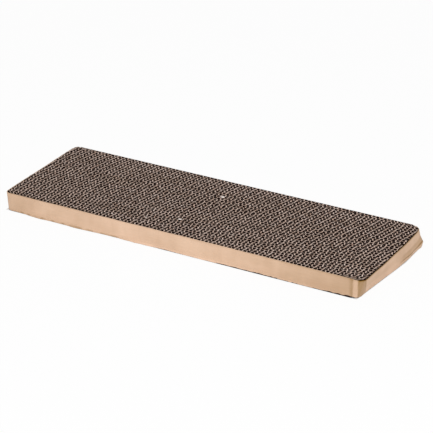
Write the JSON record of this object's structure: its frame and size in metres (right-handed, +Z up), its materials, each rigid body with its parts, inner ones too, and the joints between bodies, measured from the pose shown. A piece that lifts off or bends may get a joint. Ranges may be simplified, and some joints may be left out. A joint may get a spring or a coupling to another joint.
{
  "type": "cat scratcher",
  "caption": "flat cat scratching pad of corrugated cardboard strips glued on edge, with an open fluted face above and below and a kraft paper wrap round its sides",
  "frame": {"origin": "middle of the pad's footprint, on the face that it lies on", "axes": "+X along the strips and the pad's length, +Y across the strips to the side with the wrap's lap, +Z up out of the scratching face"},
  "size_m": [0.48, 0.1603, 0.024],
  "materials": {
    "corrugated_board": "matte",
    "kraft_wrap": "matte"
  },
  "bodies": {
    "root": {"strip_01": "corrugated_board", "strip_02": "corrugated_board", "strip_03": "corrugated_board", "strip_04": "corrugated_board", "strip_05": "corrugated_board", "strip_06": "corrugated_board", "strip_07": "corrugated_board", "strip_08": "corrugated_board", "strip_09": "corrugated_board", "strip_10": "corrugated_board", "strip_11": "corrugated_board", "strip_12": "corrugated_board", "strip_13": "corrugated_board", "strip_14": "corrugated_board", "strip_15": "corrugated_board", "strip_16": "corrugated_board", "strip_17": "corrugated_board", "strip_18": "corrugated_board", "strip_19": "corrugated_board", "strip_20": "corrugated_board", "strip_21": "corrugated_board", "strip_22": "corrugated_board", "strip_23": "corrugated_board", "strip_24": "corrugated_board", "strip_25": "corrugated_board", "strip_26": "corrugated_board", "strip_27": "corrugated_board", "strip_28": "corrugated_board", "strip_29": "corrugated_board", "strip_30": "corrugated_board", "strip_31": "corrugated_board", "side_wrap": "kraft_wrap"}
  },
  "joints": []
}
